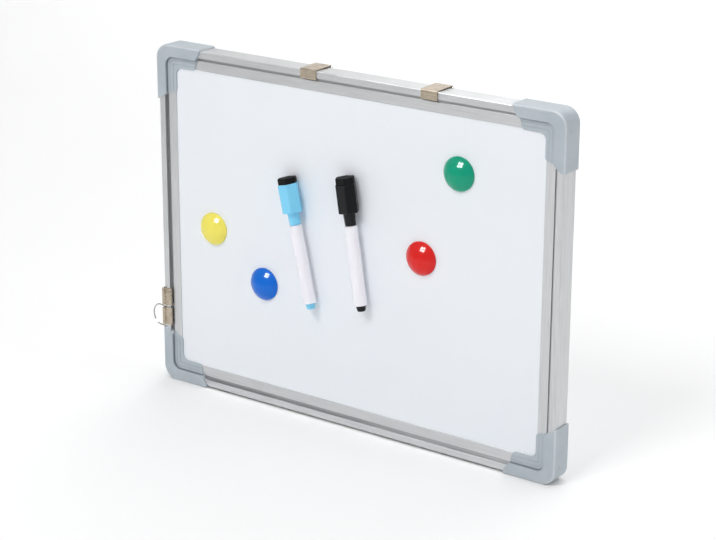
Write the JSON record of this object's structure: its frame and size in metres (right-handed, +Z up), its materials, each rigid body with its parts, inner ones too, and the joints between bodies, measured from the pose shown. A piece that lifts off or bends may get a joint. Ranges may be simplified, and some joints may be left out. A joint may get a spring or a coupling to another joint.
{
  "type": "magnetic hanging whiteboard",
  "caption": "Double-sided magnetic whiteboard in an aluminium frame, with corner caps, sliding hooks and wire rings to hang it by, button magnets and eraser-capped markers.",
  "frame": {"origin": "middle of the bounding box's bottom, level with the undersides of the bottom corner caps", "axes": "+X along the board's width, -Y out of the writing side, +Z up"},
  "size_m": [0.4124, 0.0334, 0.3],
  "materials": {
    "sheet_lacquer": "gloss",
    "core_board": "matte",
    "rail_aluminium": "satin",
    "corner_plastic": "satin",
    "hook_nickel": "satin",
    "ring_wire": "polished",
    "magnet_yellow": "gloss",
    "magnet_blue": "gloss",
    "magnet_green": "gloss",
    "magnet_red": "gloss",
    "ferrite": "matte",
    "marker_blue_plastic": "gloss",
    "marker_black_plastic": "gloss",
    "eraser_felt": "matte",
    "barrel_plastic": "gloss",
    "ink_blue": "matte",
    "ink_black": "matte"
  },
  "bodies": {
    "frame": {"front_sheet": "sheet_lacquer", "core_panel": "core_board", "back_sheet": "sheet_lacquer", "top_rail": "rail_aluminium", "bottom_rail": "rail_aluminium", "left_rail": "rail_aluminium", "right_rail": "rail_aluminium", "corner_top_left": "corner_plastic", "corner_top_right": "corner_plastic", "corner_bottom_left": "corner_plastic", "corner_bottom_right": "corner_plastic"},
    "top_hook_left": {"top_hook_left": "hook_nickel"},
    "top_hook_right": {"top_hook_right": "hook_nickel"},
    "side_hook_lower": {"side_hook_lower": "hook_nickel"},
    "side_hook_upper": {"side_hook_upper": "hook_nickel"},
    "ring_top_left": {"ring_top_left": "ring_wire"},
    "ring_top_right": {"ring_top_right": "ring_wire"},
    "ring_side": {"ring_side": "ring_wire"},
    "magnet_yellow": {"magnet_yellow": "magnet_yellow", "magnet_yellow_disc": "ferrite"},
    "magnet_blue": {"magnet_blue": "magnet_blue", "magnet_blue_disc": "ferrite"},
    "magnet_green": {"magnet_green": "magnet_green", "magnet_green_disc": "ferrite"},
    "magnet_red": {"magnet_red": "magnet_red", "magnet_red_disc": "ferrite"},
    "marker_blue_cap": {"marker_blue_cap": "marker_blue_plastic", "marker_blue_eraser": "eraser_felt", "marker_blue_cap_magnet": "ferrite"},
    "marker_blue_barrel": {"marker_blue_barrel": "barrel_plastic", "marker_blue_end_plug": "marker_blue_plastic", "marker_blue_nib": "ink_blue", "marker_blue_nib_holder": "barrel_plastic", "marker_blue_reservoir": "ink_blue"},
    "marker_black_cap": {"marker_black_cap": "marker_black_plastic", "marker_black_eraser": "eraser_felt", "marker_black_cap_magnet": "ferrite"},
    "marker_black_barrel": {"marker_black_barrel": "barrel_plastic", "marker_black_end_plug": "marker_black_plastic", "marker_black_nib": "ink_black", "marker_black_nib_holder": "barrel_plastic", "marker_black_reservoir": "ink_black"}
  },
  "joints": [
    {"name": "top_hook_left_slide", "type": "slide", "parent": "frame", "child": "top_hook_left", "axis": [1, 0, 0], "range_m": [-0.1029, 0.0484]},
    {"name": "top_hook_right_slide", "type": "slide", "parent": "frame", "child": "top_hook_right", "axis": [1, 0, 0], "range_m": [-0.0484, 0.0652]},
    {"name": "side_hook_lower_slide", "type": "slide", "parent": "frame", "child": "side_hook_lower", "axis": [0, 0, 1], "range_m": [0, 0.084]},
    {"name": "side_hook_upper_slide", "type": "slide", "parent": "side_hook_lower", "child": "side_hook_upper", "axis": [0, 0, 1], "range_m": [0, 0.084]},
    {"name": "ring_top_left_swing", "type": "hinge", "parent": "top_hook_left", "child": "ring_top_left", "pos_m": [-0.03327, 0.01521, 0.2984], "axis": [1, 0, 0], "range_deg": [0, 245]},
    {"name": "ring_top_right_swing", "type": "hinge", "parent": "top_hook_right", "child": "ring_top_right", "pos_m": [0.08343, 0.01521, 0.2984], "axis": [1, 0, 0], "range_deg": [0, 245]},
    {"name": "ring_side_swing", "type": "hinge", "parent": "side_hook_lower", "child": "ring_side", "pos_m": [-0.19217, -0.00549, 0.0576], "axis": [0, 0, 1], "range_deg": [-57, 188]},
    {"name": "magnet_yellow_pull", "type": "slide", "parent": "frame", "child": "magnet_yellow", "axis": [0, -1, 0], "range_m": [0, 0.04]},
    {"name": "magnet_blue_pull", "type": "slide", "parent": "frame", "child": "magnet_blue", "axis": [0, -1, 0], "range_m": [0, 0.04]},
    {"name": "magnet_green_pull", "type": "slide", "parent": "frame", "child": "magnet_green", "axis": [0, -1, 0], "range_m": [0, 0.04]},
    {"name": "magnet_red_pull", "type": "slide", "parent": "frame", "child": "magnet_red", "axis": [0, -1, 0], "range_m": [0, 0.04]},
    {"name": "marker_blue_pull", "type": "slide", "parent": "frame", "child": "marker_blue_cap", "axis": [0, -1, 0], "range_m": [0, 0.04]},
    {"name": "marker_blue_uncap", "type": "slide", "parent": "marker_blue_cap", "child": "marker_blue_barrel", "axis": [0.225, 0, -0.9744], "range_m": [0, 0.04]},
    {"name": "marker_black_pull", "type": "slide", "parent": "frame", "child": "marker_black_cap", "axis": [0, -1, 0], "range_m": [0, 0.04]},
    {"name": "marker_black_uncap", "type": "slide", "parent": "marker_black_cap", "child": "marker_black_barrel", "axis": [0.1564, 0, -0.9877], "range_m": [0, 0.04]}
  ]
}
